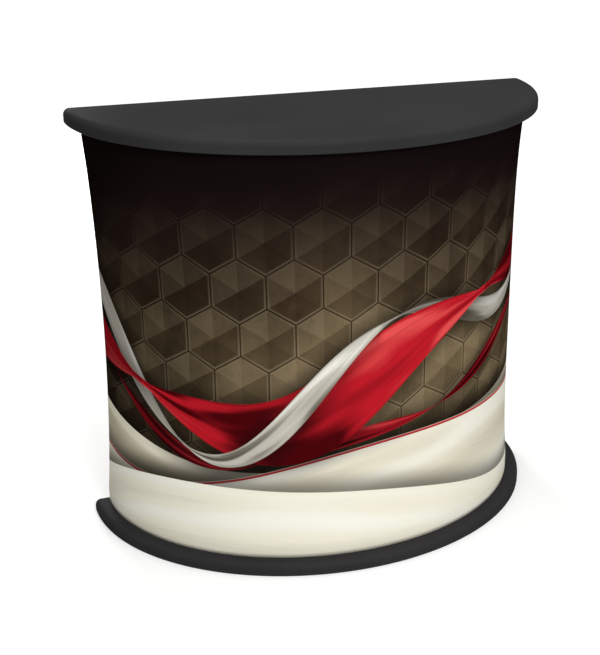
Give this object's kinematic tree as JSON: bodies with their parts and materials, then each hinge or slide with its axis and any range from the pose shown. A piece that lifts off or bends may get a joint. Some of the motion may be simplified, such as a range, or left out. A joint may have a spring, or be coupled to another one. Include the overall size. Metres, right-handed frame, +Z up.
{
  "type": "exhibition counter",
  "caption": "Portable half-oval exhibition counter: dark worktop and base, waisted printed stretch-fabric wrap, open back with a shelf on sectional uprights.",
  "frame": {"origin": "on the floor, under the middle of the counter's bounding box", "axes": "+X to the right seen from the public side, -Y towards the public, +Z up"},
  "size_m": [1.05, 0.45, 0.95],
  "materials": {
    "cover_plastic": "satin dark grey formed plastic",
    "plywood": "birch plywood, raw",
    "foot_rubber": "black rubber",
    "screw_steel": "zinc-plated steel",
    "aluminium": "anodised",
    "tape_black": "woven hook and loop tape",
    "printed_fabric": "dye-printed stretch polyester, matte",
    "hem_fabric": "stitched white polyester hem",
    "shelf_laminate": "light grey melamine faced board",
    "edge_band": "black edge band",
    "socket_plastic": "moulded black nylon",
    "button_steel": "polished steel",
    "spring_steel": "spring steel"
  },
  "bodies": {
    "root": {"base_board": "plywood", "base_button_springs": "spring_steel", "base_cover": "cover_plastic", "base_feet": "foot_rubber", "base_feet_screws": "screw_steel", "base_hook_tape": "tape_black", "base_rail": "aluminium", "base_rail_screws": "screw_steel", "base_socket_front_left": "socket_plastic", "base_socket_front_right": "socket_plastic", "base_socket_rear_left": "socket_plastic", "base_socket_rear_right": "socket_plastic", "base_socket_screws": "screw_steel", "coupler_front_left": "socket_plastic", "coupler_front_right": "socket_plastic", "coupler_pins": "spring_steel", "coupler_rear_left": "socket_plastic", "coupler_rear_right": "socket_plastic", "graphic_wrap": "printed_fabric", "lower_tube_front_left": "aluminium", "lower_tube_front_right": "aluminium", "lower_tube_rear_left": "aluminium", "lower_tube_rear_right": "aluminium", "shelf_button_springs": "spring_steel", "shelf_edge_band": "edge_band", "shelf_panel": "shelf_laminate", "top_board": "plywood", "top_button_springs": "spring_steel", "top_cover": "cover_plastic", "top_hook_tape": "tape_black", "top_rail": "aluminium", "top_rail_screws": "screw_steel", "top_socket_front_left": "socket_plastic", "top_socket_front_right": "socket_plastic", "top_socket_rear_left": "socket_plastic", "top_socket_rear_right": "socket_plastic", "top_socket_screws": "screw_steel", "upper_tube_front_left": "aluminium", "upper_tube_front_right": "aluminium", "upper_tube_rear_left": "aluminium", "upper_tube_rear_right": "aluminium", "wrap_base_loop_tape": "tape_black", "wrap_hem_left": "hem_fabric", "wrap_hem_right": "hem_fabric", "wrap_top_loop_tape": "tape_black"},
    "base_button_rear_left": {"base_button_rear_left": "button_steel"},
    "base_button_rear_right": {"base_button_rear_right": "button_steel"},
    "base_button_front_left": {"base_button_front_left": "button_steel"},
    "base_button_front_right": {"base_button_front_right": "button_steel"},
    "shelf_button_rear_left": {"shelf_button_rear_left": "button_steel"},
    "shelf_button_rear_right": {"shelf_button_rear_right": "button_steel"},
    "shelf_button_front_left": {"shelf_button_front_left": "button_steel"},
    "shelf_button_front_right": {"shelf_button_front_right": "button_steel"},
    "top_button_rear_left": {"top_button_rear_left": "button_steel"},
    "top_button_rear_right": {"top_button_rear_right": "button_steel"},
    "top_button_front_left": {"top_button_front_left": "button_steel"},
    "top_button_front_right": {"top_button_front_right": "button_steel"}
  },
  "joints": [
    {"name": "press_base_button_rear_left", "type": "slide", "parent": "root", "child": "base_button_rear_left", "axis": [-1, 0, 0], "range_m": [0, 0.004], "stiffness_N_per_m": 2000, "springref_m": -0.002, "deforming": ["base_button_springs"]},
    {"name": "press_base_button_rear_right", "type": "slide", "parent": "root", "child": "base_button_rear_right", "axis": [1, 0, 0], "range_m": [0, 0.004], "stiffness_N_per_m": 2000, "springref_m": -0.002, "deforming": ["base_button_springs"]},
    {"name": "press_base_button_front_left", "type": "slide", "parent": "root", "child": "base_button_front_left", "axis": [0, -1, 0], "range_m": [0, 0.004], "stiffness_N_per_m": 2000, "springref_m": -0.002, "deforming": ["base_button_springs"]},
    {"name": "press_base_button_front_right", "type": "slide", "parent": "root", "child": "base_button_front_right", "axis": [0, -1, 0], "range_m": [0, 0.004], "stiffness_N_per_m": 2000, "springref_m": -0.002, "deforming": ["base_button_springs"]},
    {"name": "press_shelf_button_rear_left", "type": "slide", "parent": "root", "child": "shelf_button_rear_left", "axis": [-1, 0, 0], "range_m": [0, 0.004], "stiffness_N_per_m": 2000, "springref_m": -0.002, "deforming": ["shelf_button_springs"]},
    {"name": "press_shelf_button_rear_right", "type": "slide", "parent": "root", "child": "shelf_button_rear_right", "axis": [1, 0, 0], "range_m": [0, 0.004], "stiffness_N_per_m": 2000, "springref_m": -0.002, "deforming": ["shelf_button_springs"]},
    {"name": "press_shelf_button_front_left", "type": "slide", "parent": "root", "child": "shelf_button_front_left", "axis": [0, -1, 0], "range_m": [0, 0.004], "stiffness_N_per_m": 2000, "springref_m": -0.002, "deforming": ["shelf_button_springs"]},
    {"name": "press_shelf_button_front_right", "type": "slide", "parent": "root", "child": "shelf_button_front_right", "axis": [0, -1, 0], "range_m": [0, 0.004], "stiffness_N_per_m": 2000, "springref_m": -0.002, "deforming": ["shelf_button_springs"]},
    {"name": "press_top_button_rear_left", "type": "slide", "parent": "root", "child": "top_button_rear_left", "axis": [-1, 0, 0], "range_m": [0, 0.004], "stiffness_N_per_m": 2000, "springref_m": -0.002, "deforming": ["top_button_springs"]},
    {"name": "press_top_button_rear_right", "type": "slide", "parent": "root", "child": "top_button_rear_right", "axis": [1, 0, 0], "range_m": [0, 0.004], "stiffness_N_per_m": 2000, "springref_m": -0.002, "deforming": ["top_button_springs"]},
    {"name": "press_top_button_front_left", "type": "slide", "parent": "root", "child": "top_button_front_left", "axis": [0, -1, 0], "range_m": [0, 0.004], "stiffness_N_per_m": 2000, "springref_m": -0.002, "deforming": ["top_button_springs"]},
    {"name": "press_top_button_front_right", "type": "slide", "parent": "root", "child": "top_button_front_right", "axis": [0, -1, 0], "range_m": [0, 0.004], "stiffness_N_per_m": 2000, "springref_m": -0.002, "deforming": ["top_button_springs"]}
  ]
}
